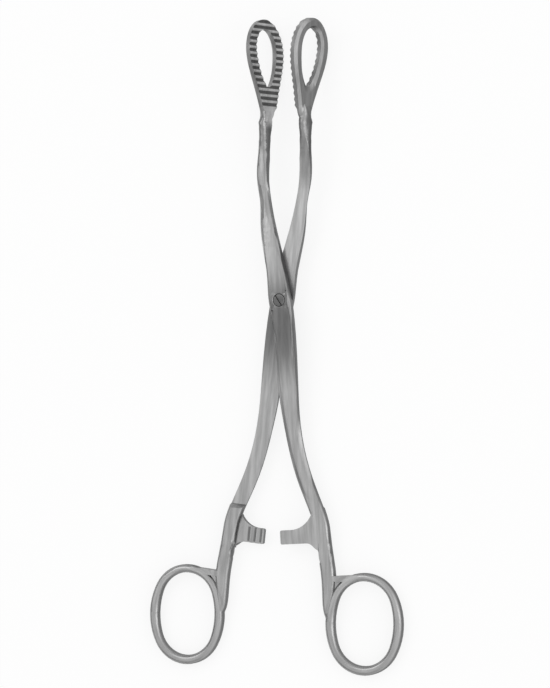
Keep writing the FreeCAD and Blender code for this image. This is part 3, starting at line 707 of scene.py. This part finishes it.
def forged_arm(side, turn):
    """One arm with its jaw, ratchet bar and ring. It is opened by a turn of 1 or -1."""
    node = f"{side}_arm"
    opened = Matrix.Rotation(turn * HALF_OPENING, 3, screw_axis)
    length = opened @ along
    aside = opened @ across
    face = opened @ (turn * (math.cos(JAW_TWIST) * across + math.sin(JAW_TWIST) * screw_axis))
    ring = mount_place(f"{side}_finger_ring")
    satin = steel(f"{side}_satin", ring, aside, length, face, **SATIN)
    # Second finish, for the broken edges: a brighter copy of the satin, a painted highlight
    edge = steel(f"{side}_edge_highlight", ring, aside, length, face, **EDGE_HIGHLIGHT)

    shape = clean_copy(node)
    crown_flats(shape, length, aside)
    flare_neck(shape, length, face.cross(length))
    blend_heel(shape, length)
    ease_slopes(shape, length, SLOPE_ZONES[side])
    blend_ratchet(shape, length, aside * -turn, LOWER_EDGE_DEEPER[side])
    for narrow in break_edges(shape, ARM_EDGE_BREAK, length):
        narrow.material_index = 1
    finish_piece(shape, f"{node}_forging", node, node, [satin, edge], length)


def turned_screw():
    finish = steel("turned_screw", (0, 0, 0), across, along, screw_axis, **TURNED)
    shape = clean_copy("joint_screw")
    break_edges(shape, SCREW_EDGE_BREAK, along)
    finish_piece(shape, "slotted_screw", "joint_screw", "rear_arm", [finish],
                 along)


# Studio

def camera():
    data = bpy.data.cameras.new("camera")
    side = math.sin(CAMERA_SIDE) * across + math.cos(CAMERA_SIDE) * screw_axis
    level = math.cos(CAMERA_SIDE) * across - math.sin(CAMERA_SIDE) * screw_axis
    back = math.cos(CAMERA_TILT) * side - math.sin(CAMERA_TILT) * along
    upright = math.cos(CAMERA_TILT) * along + math.sin(CAMERA_TILT) * side
    right = math.cos(CAMERA_LEAN) * level + math.sin(CAMERA_LEAN) * upright
    up = math.cos(CAMERA_LEAN) * upright - math.sin(CAMERA_LEAN) * level
    data.sensor_width = SENSOR
    data.lens = SENSOR * CAMERA_DISTANCE / (PHOTO_HEIGHT * PIXEL_AT_SCREW)
    data.shift_x = (PHOTO_WIDTH / 2 - SCREW_ACROSS) / PHOTO_HEIGHT
    data.shift_y = (SCREW_DOWN - PHOTO_HEIGHT / 2) / PHOTO_HEIGHT
    eye = bpy.data.objects.new("camera", data)
    bpy.context.scene.collection.objects.link(eye)
    turn = Matrix((right, up, back)).transposed().to_4x4()
    eye.matrix_world = Matrix.Translation(screw_place + CAMERA_DISTANCE * back) @ turn
    bpy.context.scene.camera = eye


def lamp(name, place, size, strength):
    """Soft lamp in watts that looks at the middle of the floor."""
    data = bpy.data.lights.new(name, "AREA")
    data.shape = "RECTANGLE"
    data.size, data.size_y = size
    data.energy = strength
    light = bpy.data.objects.new(name, data)
    bpy.context.scene.collection.objects.link(light)
    light.location = place
    light.rotation_mode = "QUATERNION"
    light.rotation_quaternion = (Vector(place) * -1).to_track_quat("-Z", "Y")


def floor():
    """Pale floor that shows white to the camera and in the steel, and keeps part of the shadow."""
    shape = bmesh.new()
    bmesh.ops.create_grid(shape, x_segments=2, y_segments=2, size=FLOOR_HALF)
    bmesh.ops.translate(shape, verts=shape.verts, vec=(0, 0, cad_box[0].z - FLOOR_DROP))
    mesh = bpy.data.meshes.new("floor")
    shape.to_mesh(mesh)
    shape.free()
    ground = bpy.data.objects.new("floor", mesh)
    bpy.context.scene.collection.objects.link(ground)
    material = bpy.data.materials.new("floor")
    material.use_nodes = True
    tree = material.node_tree
    shader = tree.nodes["Principled BSDF"]
    shader.inputs["Base Color"].default_value = grey(FLOOR_TONE)
    shader.inputs["Roughness"].default_value = 1.0
    shader.inputs["Specular IOR Level"].default_value = 0.0
    white = tree.nodes.new("ShaderNodeEmission")
    rays = tree.nodes.new("ShaderNodeLightPath").outputs
    in_steel_or_glass = calc(tree, "MAXIMUM", rays["Is Glossy Ray"], rays["Is Transmission Ray"])
    seen = calc(tree, "MAXIMUM", rays["Is Camera Ray"], in_steel_or_glass)
    blend = tree.nodes.new("ShaderNodeMixShader")
    put(calc(tree, "MULTIPLY", seen, FLOOR_GLOW), tree, blend.inputs[0])
    put(shader.outputs[0], tree, blend.inputs[1])
    put(white.outputs[0], tree, blend.inputs[2])
    put(blend.outputs[0], tree, tree.nodes["Material Output"].inputs["Surface"])
    mesh.materials.append(material)


def studio_sky():
    """Bright wall to the right, darker wall to the left and a pale ceiling."""
    world = bpy.data.worlds.new("studio")
    world.use_nodes = True
    bpy.context.scene.world = world
    tree = world.node_tree
    parts = split(tree, object_coordinates(tree)["Generated"])
    walls = mix(tree, ramp(tree, parts["X"], WALL_ZONE), grey(LEFT_WALL), grey(RIGHT_WALL))
    put(mix(tree, ramp(tree, parts["Z"], CEILING_ZONE), walls, grey(CEILING)), tree,
        tree.nodes["Background"].inputs["Color"])


forged_arm("front", 1)
forged_arm("rear", -1)
turned_screw()

camera()
floor()
studio_sky()
lamp("left_softbox", place=(-1.2, 0.9, 1.8), size=(1.6, 1.6), strength=8.0)
lamp("right_strip", place=(1.9, 0.0, 0.8), size=(0.5, 2.4), strength=6.0)

bpy.context.scene.view_settings.view_transform = "Standard"
